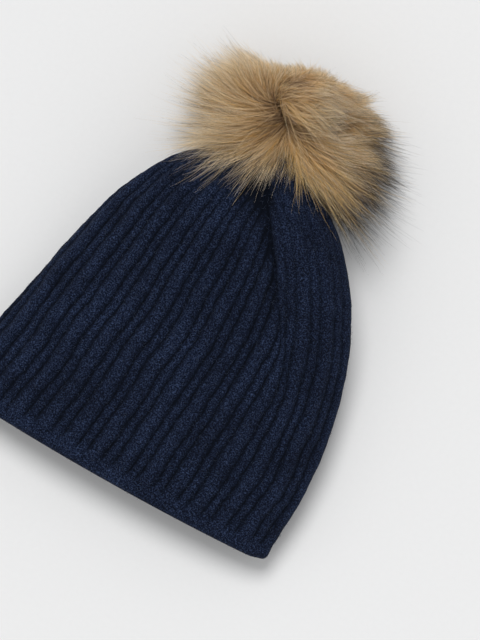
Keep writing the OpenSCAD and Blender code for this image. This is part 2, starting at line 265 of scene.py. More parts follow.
def feed(tree, socket, value):
    """Gives an input its value: a link from a node or from one of its outputs, a hex colour or a number."""
    if isinstance(value, bpy.types.Node):
        value = next(output for output in value.outputs if output.enabled)
    if isinstance(value, bpy.types.NodeSocket):
        tree.links.new(value, socket)
    else:
        is_hex = isinstance(value, str) and value.startswith("#")
        socket.default_value = colour(value) if is_hex else value


def add(tree, kind, inputs=(), stops=(), **settings):
    """One node with its settings, its inputs by name or in order, and a colour ramp's (place, hex) stops."""
    made = tree.nodes.new(kind)
    for key, value in settings.items():
        setattr(made, key, value)
    for key, value in inputs.items() if isinstance(inputs, dict) else enumerate(inputs):
        feed(tree, made.inputs[key], value)
    for i, (at, value) in enumerate(stops):
        stop = made.color_ramp.elements[i] if i < 2 else made.color_ramp.elements.new(at)
        stop.position = at
        stop.color = colour(value)
    return made


MATH, VECTOR = "ShaderNodeMath", "ShaderNodeVectorMath"
NAMED, STORE = "GeometryNodeInputNamedAttribute", "GeometryNodeStoreNamedAttribute"


def per_mm(size):
    """The scale that makes a pattern's marks about this many millimetres across."""
    return 1 / (size * MM)


def finish_material(name, build):
    """A material whose build function gives the Principled shader's inputs."""
    made = bpy.data.materials.new(name)
    made.use_nodes = True
    tree = made.node_tree
    tree.nodes.clear()
    shader = add(tree, "ShaderNodeBsdfPrincipled")
    add(tree, "ShaderNodeOutputMaterial", {"Surface": shader})
    for key, value in build(tree).items():
        feed(tree, shader.inputs[key], value)
    return made


# ---------------------------------------------------------------- materials
# Brushed lambswool: the pile hides the stitches, so the eye sees a soft speckle of lit fibre ends over dark
# gaps, painted into the colour as highlight and shade. The speckle is drawn coarser than real fibre ends,
# which are too fine for a view of the whole hat. The knit's painted groove shade darkens it towards the same
# shaded gap colour.
def brushed_lambswool(shaded_gap, base, lit):
    def build(tree):
        place = add(tree, "ShaderNodeTexCoord").outputs["Object"]
        speck = add(tree, "ShaderNodeTexNoise", {"Vector": place, "Scale": per_mm(0.8), "Roughness": 0.7})
        fibre = add(tree, "ShaderNodeValToRGB", (speck,), [(0.34, shaded_gap), (0.5, base), (0.7, lit)])
        cloud = add(tree, "ShaderNodeTexNoise",
                    {"Vector": place, "Scale": per_mm(30), "Detail": 3.0, "Roughness": 0.6})
        cloud = add(tree, "ShaderNodeValToRGB", (cloud,), [(0.3, "#BDBDC0"), (0.7, "#FFFFFF")])
        wool = add(tree, "ShaderNodeMix", {"Factor": 1.0, "A": fibre, "B": cloud},
                   data_type="RGBA", blend_type="MULTIPLY")
        # The knit's painted shade: in the grooves and creases and the pom's painted shadow, broken up by
        # noise at its edges.
        painted_shade = add(tree, "ShaderNodeAttribute", attribute_name="groove").outputs["Fac"]
        fray = add(tree, "ShaderNodeTexNoise",
                   {"Vector": place, "Scale": per_mm(1.8), "Detail": 3.0, "Roughness": 0.7})
        fray = add(tree, MATH, (fray, 0.9, -0.45), operation="MULTIPLY_ADD")
        frayed_shade = add(tree, MATH, (painted_shade, fray), operation="ADD")
        shade_mask = add(tree, "ShaderNodeValToRGB", (frayed_shade,), [(0.12, "#000000"), (0.85, "#FFFFFF")])
        nap = add(tree, "ShaderNodeTexNoise",
                  {"Vector": place, "Scale": per_mm(0.9), "Detail": 3.0, "Roughness": 0.75})
        return {
            "Base Color": add(tree, "ShaderNodeMix", {"Factor": shade_mask, "A": wool, "B": shaded_gap}, data_type="RGBA"),
            "Roughness": 0.97,
            "Specular IOR Level": 0.12,
            "Sheen Weight": 0.1,
            "Sheen Roughness": 0.5,
            "Sheen Tint": "#5A6C92",
            "Normal": add(tree, "ShaderNodeBump", {"Height": nap, "Distance": 1.0 * MM}),
        }
    return build


# Loose wool fibres that stand out of the nap: the same yarn, thin enough for light to catch them.
def wool_fibre(tree):
    place = add(tree, "ShaderNodeTexCoord").outputs["Object"]
    tone = add(tree, "ShaderNodeTexNoise", {"Vector": place, "Scale": per_mm(3.0)})
    return {
        "Base Color": add(tree, "ShaderNodeValToRGB", (tone,), [(0.3, "#1B2438"), (0.75, "#3E4A66")]),
        "Roughness": 0.8,
        "Sheen Weight": 0.3,
        "Sheen Tint": "#7C8CAC",
    }


# Plied seaming yarn: two strands twisted together, seen as slanted light and dark turns.
def plied_yarn(tree):
    place = add(tree, "ShaderNodeTexCoord").outputs["Object"]
    turn = add(tree, "ShaderNodeTexWave",
               {"Vector": place, "Scale": per_mm(1.6) / math.tau, "Distortion": 2.0},
               wave_type="BANDS", bands_direction="DIAGONAL").outputs["Fac"]
    return {
        "Base Color": add(tree, "ShaderNodeValToRGB", (turn,), [(0.1, "#060B18"), (0.8, "#18223B")]),
        "Roughness": 0.95,
        "Specular IOR Level": 0.12,
        "Normal": add(tree, "ShaderNodeBump", {"Height": turn, "Distance": 0.3 * MM, "Strength": 0.8}),
    }


# Pressed wool felt: short tangled fibres with no grain.
def pressed_felt(tree):
    place = add(tree, "ShaderNodeTexCoord").outputs["Object"]
    tangle = add(tree, "ShaderNodeTexNoise",
                 {"Vector": place, "Scale": per_mm(0.8), "Detail": 4.0, "Roughness": 0.7})
    return {
        "Base Color": add(tree, "ShaderNodeValToRGB", (tangle,), [(0.3, "#0D1322"), (0.75, "#262F45")]),
        "Roughness": 1.0,
        "Sheen Weight": 0.3,
        "Normal": add(tree, "ShaderNodeBump", {"Height": tangle, "Distance": 0.4 * MM, "Strength": 0.7}),
    }


# Woven satin label tape: fine ribs across it, with a soft shine.
def satin_tape(tree):
    place = add(tree, "ShaderNodeTexCoord").outputs["Object"]
    rib = add(tree, "ShaderNodeTexWave",
              {"Vector": place, "Scale": per_mm(0.9) / math.tau, "Distortion": 0.3},
              wave_type="BANDS", bands_direction="Y").outputs["Fac"]
    return {
        "Base Color": add(tree, "ShaderNodeValToRGB", (rib,), [(0.2, "#D9D5CB"), (0.8, "#F2EFE8")]),
        "Roughness": 0.42,
        "Normal": add(tree, "ShaderNodeBump", {"Height": rib, "Distance": 0.08 * MM, "Strength": 0.6}),
    }


# Antiqued brass: pressed and tumbled, brighter where it rubs and browned where it doesn't.
def antique_brass(tree):
    place = add(tree, "ShaderNodeTexCoord").outputs["Object"]
    age = add(tree, "ShaderNodeTexNoise",
              {"Vector": place, "Scale": per_mm(1.8), "Detail": 4.0, "Roughness": 0.6})
    return {
        "Base Color": add(tree, "ShaderNodeValToRGB", (age,), [(0.3, "#6B5530"), (0.7, "#C2A468")]),
        "Metallic": 1.0,
        "Roughness": add(tree, "ShaderNodeValToRGB", (age,), [(0.3, "#8A8A8A"), (0.7, "#565656")]),
        "Normal": add(tree, "ShaderNodeBump", {"Height": age, "Distance": 0.05 * MM, "Strength": 0.4}),
    }


# Braided elastic: a rubber core under a close polyester braid.
def braided_elastic(tree):
    place = add(tree, "ShaderNodeTexCoord").outputs["Object"]
    braid = add(tree, "ShaderNodeTexVoronoi", {"Vector": place, "Scale": per_mm(0.8)}).outputs["Distance"]
    return {
        "Base Color": add(tree, "ShaderNodeValToRGB", (braid,), [(0.1, "#2A2A2E"), (0.7, "#0E0E10")]),
        "Roughness": 0.75,
        "Normal": add(tree, "ShaderNodeBump", {"Height": braid, "Distance": 0.2 * MM, "Strength": 0.7}),
    }


# Moulded polypropylene: a waxy black with a faint spark-eroded grain.
def moulded_polypropylene(tree):
    place = add(tree, "ShaderNodeTexCoord").outputs["Object"]
    grain = add(tree, "ShaderNodeTexNoise", {"Vector": place, "Scale": per_mm(0.5), "Detail": 2.0})
    return {
        "Base Color": add(tree, "ShaderNodeValToRGB", (grain,), [(0.3, "#161618"), (0.7, "#222226")]),
        "Roughness": 0.48,
        "Normal": add(tree, "ShaderNodeBump", {"Height": grain, "Distance": 0.05 * MM, "Strength": 0.4}),
    }


# Hollow polyester fibre filling: white and matted, with small darker patches of painted shade where its gaps
# are.
def fibre_filling(tree):
    place = add(tree, "ShaderNodeTexCoord").outputs["Object"]
    mat = add(tree, "ShaderNodeTexNoise",
              {"Vector": place, "Scale": per_mm(2.2), "Detail": 4.0, "Roughness": 0.7})
    return {
        "Base Color": add(tree, "ShaderNodeValToRGB", (mat,), [(0.3, "#BDBBB4"), (0.7, "#F4F3EE")]),
        "Roughness": 1.0,
        "Normal": add(tree, "ShaderNodeBump", {"Height": mat, "Distance": 1.2 * MM, "Strength": 0.8}),
    }


# Alum-tawed hide: a dressed skin, browned by the wool at its roots, with fine creases darkened in the colour
# as painted shade.
def tawed_hide(tree):
    place = add(tree, "ShaderNodeTexCoord").outputs["Object"]
    crease = add(tree, "ShaderNodeTexVoronoi", {"Vector": place, "Scale": per_mm(2.4)},
                 feature="DISTANCE_TO_EDGE").outputs["Distance"]
    blotch = add(tree, "ShaderNodeTexNoise", {"Vector": place, "Scale": per_mm(9), "Detail": 3.0})
    base = add(tree, "ShaderNodeValToRGB", (blotch,), [(0.3, "#6E5A40"), (0.7, "#8C7656")])
    # Painted shade along the creases.
    crease_shade = add(tree, "ShaderNodeValToRGB", (crease,), [(0.0, "#FFFFFF"), (0.12, "#000000")])
    return {
        "Base Color": add(tree, "ShaderNodeMix", {"Factor": crease_shade, "A": base, "B": "#4A3926"},
                          data_type="RGBA"),
        "Roughness": 0.85,
        "Normal": add(tree, "ShaderNodeBump", {"Height": crease, "Distance": 0.25 * MM, "Strength": 0.6}),
    }


# Waxed linen thread: a pale two-ply twist.
def waxed_thread(tree):
    place = add(tree, "ShaderNodeTexCoord").outputs["Object"]
    turn = add(tree, "ShaderNodeTexWave", {"Vector": place, "Scale": per_mm(0.8) / math.tau},
               wave_type="BANDS", bands_direction="DIAGONAL").outputs["Fac"]
    return {
        "Base Color": add(tree, "ShaderNodeValToRGB", (turn,), [(0.2, "#B9AF98"), (0.8, "#E3DCC8")]),
        "Roughness": 0.6,
        "Normal": add(tree, "ShaderNodeBump", {"Height": turn, "Distance": 0.1 * MM, "Strength": 0.6}),
    }


# Raccoon fur: every hair is banded, brown at the root and tan along its length. Some are golden, and the
# guard hairs end in grey and black. A hair's map runs along it in V and picks its banding in U.
def banded_fur(tree):
    split = add(tree, "ShaderNodeSeparateXYZ", {"Vector": add(tree, "ShaderNodeUVMap", uv_map="HairMap")})
    kind, along = split.outputs["X"], split.outputs["Y"]
    tan = add(tree, "ShaderNodeValToRGB", (along,),
              [(0.0, "#A68868"), (0.18, "#CFAF8A"), (0.45, "#F6D4A2"), (0.75, "#FFE9C0"), (1.0, "#F2E8DC")])
    gold = add(tree, "ShaderNodeValToRGB", (along,),
               [(0.0, "#9E7B50"), (0.18, "#C8A062"), (0.5, "#F4C06C"), (0.8, "#FFDC96"), (1.0, "#EAD4A8")])
    tipped = add(tree, "ShaderNodeValToRGB", (along,),
                 [(0.0, "#7C6248"), (0.25, "#AE916A"), (0.5, "#DCC090"), (0.68, "#8C8078"),
                  (0.8, "#38322F"), (1.0, "#1A1718")])
    is_gold = add(tree, MATH, (kind, 1 / 3), operation="GREATER_THAN")
    is_tipped = add(tree, MATH, (kind, 2 / 3), operation="GREATER_THAN")
    fur = add(tree, "ShaderNodeMix", {"Factor": is_gold, "A": tan, "B": gold}, data_type="RGBA")
    fur = add(tree, "ShaderNodeMix", {"Factor": is_tipped, "A": fur, "B": tipped}, data_type="RGBA")
    step = add(tree, MATH, (kind, 3.0), operation="MULTIPLY")
    tone = add(tree, MATH, (step,), operation="FRACT")
    shade = add(tree, "ShaderNodeValToRGB", (tone,), [(0.0, "#B2A99E"), (0.5, "#F0ECE6"), (1.0, "#FFFFFF")])
    return {
        "Base Color": add(tree, "ShaderNodeMix", {"Factor": 1.0, "A": fur, "B": shade}, data_type="RGBA",
                          blend_type="MULTIPLY"),
        "Roughness": 0.42,
        "Specular IOR Level": 0.5,
    }


# Painted board: a flat, even off-white under a dull coat.
def painted_board(tree):
    place = add(tree, "ShaderNodeTexCoord").outputs["Object"]
    tone = add(tree, "ShaderNodeTexNoise", {"Vector": place, "Scale": per_mm(3.0)})
    return {
        "Base Color": add(tree, "ShaderNodeValToRGB", (tone,), [(0.0, "#E9E9E9"), (1.0, "#ECECEC")]),
        "Roughness": 0.9,
    }


# The colours: painted shade in the gaps, the wool's navy, and painted highlight on lit fibre ends.
WOOL = finish_material("brushed_lambswool_navy", brushed_lambswool("#030813", "#121B31", "#425274"))
FIBRE = finish_material("loose_wool_fibre", wool_fibre)
YARN = finish_material("plied_seam_yarn", plied_yarn)
FELT = finish_material("pressed_wool_felt", pressed_felt)
TAPE = finish_material("woven_satin_tape", satin_tape)
BRASS = finish_material("antique_brass", antique_brass)
ELASTIC = finish_material("braided_elastic", braided_elastic)
PLASTIC = finish_material("moulded_polypropylene", moulded_polypropylene)
FILLING = finish_material("hollow_fibre_filling", fibre_filling)
HIDE = finish_material("alum_tawed_hide", tawed_hide)
THREAD = finish_material("waxed_linen_thread", waxed_thread)
FUR = finish_material("banded_raccoon_fur", banded_fur)

for node_name, finish in {
    "crown_gathering_yarn": YARN, "crown_patch": FELT, "snap_stud": BRASS, "stud_backing": BRASS,
    "socket_spring": BRASS, "snap_socket": BRASS, "socket_cap": BRASS, "tether_bar": BRASS,
    "elastic_tether": ELASTIC, "base_disc": PLASTIC, "anchor_bar": BRASS, "hide_gathering_thread": THREAD,
}.items():
    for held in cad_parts[node_name].material_slots:
        held.material = finish


def blend_mouth(obj):
    """Bakes a piece's placement into its mesh; the piece is not bent between the front, which opens, and the
    back, which stays on the table.
    """
    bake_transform(obj)


def even_angles(y, side, cols):
    """Angles that cut one half of the section into equal steps, and each one's distance from its middle."""
    fine = np.linspace(0, np.pi, 721)
    x, z = section(y, fine * side)
    run = np.concatenate([[0], np.cumsum(np.hypot(np.diff(x), np.diff(z)))])
    steps = np.linspace(0, run[-1], cols + 1)
    return np.interp(steps, run, fine) * side, run[-1] / 2 - steps, run[-1] / 2


def knit_grid(rows_y, side, cols):
    """Mean surface of one half: points, distances round it and the reach to its fold, for each row."""
    angle, s, reach = (np.array(v) for v in zip(*(even_angles(y, side, cols) for y in rows_y)))
    y = np.repeat(rows_y[:, None], cols + 1, 1)
    x, z = section(y, angle)
    base = np.stack([x, y, z], -1)
    along = np.gradient(base, axis=0)
    round_it = np.gradient(base, axis=1)
    normal = np.cross(round_it, along) * -side
    normal /= np.linalg.norm(normal, axis=-1, keepdims=True)
    return base, normal, s, y, np.repeat(reach[:, None], cols + 1, 1)


def settle(points):
    """Shifts the mean shape to how the hat lies, and keeps it on the table."""
    placed = points.copy()
    x, y = points[..., 0], points[..., 1]
    placed[..., 0] = x * (1 - SIDE_SLACK * np.sin(np.pi * np.clip(y / HAT_L, 0, 1))) + lean_x(y)
    placed[..., 1] += HEM_Y - HEM_BOW * (1 - (x * 2 / HAT_W) ** 2) * (1 - smooth(y / 70))
    placed[..., 1] += HEM_CORNER * smooth((np.abs(x * 2 / HAT_W) - 0.9) / 0.1) * (1 - smooth(y / 16))
    placed[..., 2] = np.maximum(placed[..., 2], 0.05)
    return placed


def hem_round(y):
    """How far the welt's edge is turned in towards the middle of the knit."""
    r = KNIT_T / 2
    t = np.clip(1 - y / r, 0, 1)
    return r * (1 - np.sqrt(1 - t * t))


def shell_faces(rows, cols, stride, inner_rows, flip):
    """Faces of a closed shell: a fine outer grid, and an inner grid on every few of its rows and columns."""
    w = cols + 1
    inner_cols = cols // stride
    iw = inner_cols + 1
    base = rows * w
    outer = [(i * w + j, i * w + j + 1, (i + 1) * w + j + 1, (i + 1) * w + j)
             for i in range(rows - 1) for j in range(cols)]
    inner = [(base + i * iw + j, base + (i + 1) * iw + j, base + (i + 1) * iw + j + 1, base + i * iw + j + 1)
             for i in range(len(inner_rows) - 1) for j in range(inner_cols)]
    rims = []
    for row, i in ((inner_rows[0], 0), (inner_rows[-1], len(inner_rows) - 1)):
        for j in range(inner_cols):
            edge = [row * w + j * stride + k for k in range(stride + 1)]
            back = [base + i * iw + j + 1, base + i * iw + j]
            rims.append(tuple(edge[::-1] + back[::-1]) if i == 0 else tuple(edge + back))
    for j, end in ((0, 0), (cols, inner_cols)):
        for i in range(len(inner_rows) - 1):
            edge = [r * w + j for r in range(inner_rows[i], inner_rows[i + 1] + 1)]
            back = [base + (i + 1) * iw + end, base + i * iw + end]
            rims.append(tuple(edge + back) if j == 0 else tuple(edge[::-1] + back[::-1]))
    faces = outer + inner + rims
    return [f[::-1] for f in faces] if flip else faces


def knit_half(name, side, cols, step, seed):
    """The front or back of the hat from its welt to the crown's edge, ribbed outside and plainer inside."""
    hem = np.array([0, 0.2, 0.6, 1.2, 1.9])
    rows_y = np.concatenate([hem, np.arange(KNIT_T / 2 + 0.4, CAP_Y - step / 2, step), [CAP_Y]])
    base, normal, s, y, reach = knit_grid(rows_y, side, cols)
    s = s * side
    out, groove = relief(s, y, reach, reach[0, 0], seed)
    turned = hem_round(y)
    outer = base + normal * (out * smooth(y / 4) - turned)[..., None]
    stride = 4
    inner_rows = sorted({*range(len(hem)), *range(len(hem), len(rows_y), stride), len(rows_y) - 1})
    rib_back = 0.45 * (out[inner_rows][:, ::stride] + GROOVE_DEPTH)
    y_in = y[inner_rows][:, ::stride]
    deep = KNIT_T - 0.6 - hem_round(y_in) - rib_back * smooth(y_in / 12)
    inner = base[inner_rows][:, ::stride] - normal[inner_rows][:, ::stride] * deep[..., None]
    points = np.concatenate([settle(outer).reshape(-1, 3), settle(inner).reshape(-1, 3)])
    # The knit's painted shade, weaker on the inside.
    painted_shade = np.concatenate([groove.ravel(), 0.4 * groove[inner_rows][:, ::stride].ravel()])
    faces = shell_faces(len(rows_y), cols, stride, inner_rows, side > 0)
    return piece(name, points, faces, WOOL, {"groove": painted_shade})


def crown_ring():
    """The crown's rounded cap, drawn in to pleats round its gathered hole."""
    cols, rows = 288, 34
    w = np.linspace(0, 1, rows)
    rows_y = HAT_L - (HAT_L - CAP_Y) * (1 - w) ** 2
    halves = []
    for side, seed in ((1, 10), (-1, 20)):
        base, normal, s, y, reach = knit_grid(rows_y, side, cols // 2)
        out, groove = relief(s * side, y, reach, 121.0, seed)
        order = slice(None, -1) if side > 0 else slice(None, 0, -1)
        halves.append([v[:, order] for v in (base, normal, out[..., None], groove[..., None])])
    base, normal, out, groove = (np.concatenate(pair, 1) for pair in zip(*halves))
    turn = np.linspace(0, 2 * np.pi, cols, endpoint=False)
    pleat = 0.8 * np.abs(np.sin(turn * 13))[None, :, None] * smooth(w * 2 - 1)[:, None, None]
    outer = base + normal * (out + pleat)
    ring = np.stack([GATHER_R * np.cos(turn), 0 * turn, CROWN_Z + GATHER_R * np.sin(turn)], -1)
    lip = ring + [0, HAT_L, 0]
    under = ring + [0, HAT_L - KNIT_T, 0]
    inner = base[::-3] - normal[::-3] * (KNIT_T - 0.6)
    inner[..., 1] = np.minimum(inner[..., 1], HAT_L - KNIT_T)
    rings = np.concatenate([outer, lip[None], under[None], inner], 0)
    n = len(rings)
    faces = [(i * cols + j, i * cols + (j + 1) % cols, (i + 1) % n * cols + (j + 1) % cols,
              (i + 1) % n * cols + j) for i in range(n) for j in range(cols)]
    # Painted shade on the crown's outer rings only.
    painted_shade = np.zeros(rings.shape[:2])
    painted_shade[:rows] = groove[..., 0]
    return piece("crown_knit", settle(rings).reshape(-1, 3), faces, WOOL, {"groove": painted_shade.ravel()})


front = knit_half("front_knit", 1, 288, 1.25, 10)
back = knit_half("back_knit", -1, 200, 1.9, 20)
crown = crown_ring()
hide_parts("front_panel", "front_hem")
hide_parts("back_panel", "back_hem")
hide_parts("crown")
for knit in (front, back, crown):
    blend_mouth(knit)


# ---------------------------------------------------------------- geometry node helpers
def node_group(name, inputs):
    """A geometry node tree with named inputs: (name, socket type) each. Returns it with its input node."""
    tree = bpy.data.node_groups.new(name, "GeometryNodeTree")
    tree.interface.new_socket("Geometry", in_out="INPUT", socket_type="NodeSocketGeometry")
    for key, kind in inputs:
        tree.interface.new_socket(key, in_out="INPUT", socket_type=kind)
    tree.interface.new_socket("Geometry", in_out="OUTPUT", socket_type="NodeSocketGeometry")
    return tree, add(tree, "NodeGroupInput").outputs


def run_group(source, tree, values):
    """Puts a node tree on an object as a modifier and sets the tree's inputs by their identifiers."""
    modifier = source.modifiers.new(tree.name, "NODES")
    modifier.node_group = tree
    for socket in tree.interface.items_tree:
        if socket.in_out == "INPUT" and socket.name in values:
            modifier[socket.identifier] = values[socket.name]
    source.update_tag()
    bpy.context.view_layer.update()


def chance(tree, low, high, seed, offset):
    """A random number for each point, from a seed and an offset of its own."""
    own = add(tree, MATH, (seed, offset), operation="ADD")
    return add(tree, "FunctionNodeRandomValue", {"Min": low, "Max": high, "Seed": own}, data_type="FLOAT")


def chance_vector(tree, seed, offset):
    """A random vector for each point, each part of it from -1 to 1."""
    own = add(tree, MATH, (seed, offset), operation="ADD")
    return add(tree, "FunctionNodeRandomValue", {"Min": (-1, -1, -1), "Max": (1, 1, 1), "Seed": own},
               data_type="FLOAT_VECTOR")


# ---------------------------------------------------------------- fur
HIDE_MID = (HIDE_LO + HIDE_HI) / 2
HIDE_HALF = (HIDE_HI - HIDE_LO) / 2
# The hair parts on top along a line between these two points, from the hide's middle
PARTING = (np.array([-17.0, 5.0]), np.array([-9.0, -15.0]))
TUFT = 4.0               # how far the tallest hairs stand over the coat's mean height

# How far the hair reaches from the hide's middle, seen from above, by its direction in degrees from +X.
REACH = ((-180, 71), (-160, 71), (-135, 77), (-115, 66), (-98, 50), (-80, 33), (-60, 42), (-44, 68),
         (-32, 86), (-18, 78), (0, 64), (20, 50), (45, 35), (70, 27), (110, 26), (145, 30), (162, 46),
         (172, 62), (180, 71))


def reach_of(angle):
    at, far = np.array(REACH, float).T
    return np.interp(np.degrees(angle), at, far)


def fur_base():
    """The hide's surface with, at each point, where a full hair's tip lies and how its colours are mixed."""
    rows, cols = 40, 72
    lat = np.linspace(-1, 1, rows + 1)[1:-1] * np.pi / 2
    lon = np.linspace(0, 2 * np.pi, cols, endpoint=False)
    ring = np.stack([np.outer(np.cos(lat), np.cos(lon)), np.repeat(np.sin(lat)[:, None], cols, 1),
                     np.outer(np.cos(lat), np.sin(lon))], -1).reshape(-1, 3)
    unit = np.concatenate([ring, [[0, -1, 0], [0, 1, 0]]])
    offset = unit * HIDE_HALF
    normal = unit / HIDE_HALF
    normal /= np.linalg.norm(normal, axis=1, keepdims=True)
    up = normal[:, 2]
    top = smooth(up * 1.3)
    swirl = np.stack([wander(offset[:, 0], offset[:, 1], 9, 9, 41),
                      wander(offset[:, 0], offset[:, 1], 9, 9, 42)], -1)
    start, end = PARTING
    along = np.clip((offset[:, :2] - start) @ (end - start) / np.sum((end - start) ** 2), 0, 1)
    parting = start + along[:, None] * (end - start)
    flow_from = offset[:, :2] + (9.0 * swirl - parting) * top[:, None]
    flow = flow_from / np.linalg.norm(flow_from, axis=1, keepdims=True)
    angle = np.arctan2(flow[:, 1], flow[:, 0])
    reach = reach_of(angle)
    spread = np.where(up > 0, 1 - 0.7 * smooth(up) ** 1.2, 1 - 0.12 * smooth(-up))
    ruffle = 1 + 4.5 * top * np.exp(-(np.linalg.norm(flow_from, axis=1) / 9) ** 2)
    out = flow * (reach * spread)[:, None]
    out += parting * (0.35 * top)[:, None]
    height = np.where(up > 0, 44 * np.abs(up) ** 0.66 - 12 * (1 - up), -12 - 34 * np.abs(up) ** 0.7)
    toward_hat = np.exp(-((np.degrees(angle) + 100) / 48) ** 2)
    height += toward_hat * np.where(up > -0.15, 24 * (1 - np.abs(up)), 0)
    tip = np.concatenate([out, height[:, None]], 1) + HIDE_MID
    to_right = np.exp(-((np.degrees(angle) + 22) / 34) ** 2)
    dark = 0.05 + 1.0 * to_right * smooth((0.55 - up) / 0.5) + 0.1 * smooth(-up)
    gold = 0.14 + 0.5 * np.exp(-((np.degrees(angle) + 48) / 26) ** 2)
    faces = [(i * cols + j, (i + 1) * cols + j, (i + 1) * cols + (j + 1) % cols, i * cols + (j + 1) % cols)
             for i in range(rows - 2) for j in range(cols)]
    first, last = len(ring), len(ring) + 1
    faces += [(first, j, (j + 1) % cols) for j in range(cols)]
    end = (rows - 2) * cols
    faces += [(last, end + (j + 1) % cols, end + j) for j in range(cols)]
    return piece("fur_base", offset + HIDE_MID, faces, FUR,
                 {"tip": tip * MM, "dark": dark, "gold": gold, "ruffle": ruffle})


def hat_body():
    """The hat's outer shape as one closed body, for the hair to lie on."""
    rows_y = np.concatenate([np.arange(120, CAP_Y, 4.0),
                             HAT_L - (HAT_L - CAP_Y) * np.linspace(1, 0, 10) ** 2])
    front_side = knit_grid(rows_y, 1, 60)[0]
    back_side = knit_grid(rows_y, -1, 60)[0][:, -2:0:-1]
    rings = settle(np.concatenate([front_side, back_side], 1))
    n, m = rings.shape[:2]
    faces = [(i * m + j, (i + 1) * m + j, (i + 1) * m + (j + 1) % m, i * m + (j + 1) % m)
             for i in range(n - 1) for j in range(m)]
    faces += [tuple(range(m)), tuple((n - 1) * m + j for j in reversed(range(m)))]
    return piece("hat_body", rings.reshape(-1, 3), faces, WOOL)


WIDE_SWING = 0.36        # how far a big lock swings aside, as a share of its hairs' reach
FINE_SWING = 0.26        # the same for a small lock
MOST_SCATTER = 0.5       # the most that a single hair strays, as a share of its reach
ARCH = 0.36              # how high a hair arches off the hide, as a share of its reach
BIG_LOCK, SMALL_LOCK = 11, 4.5


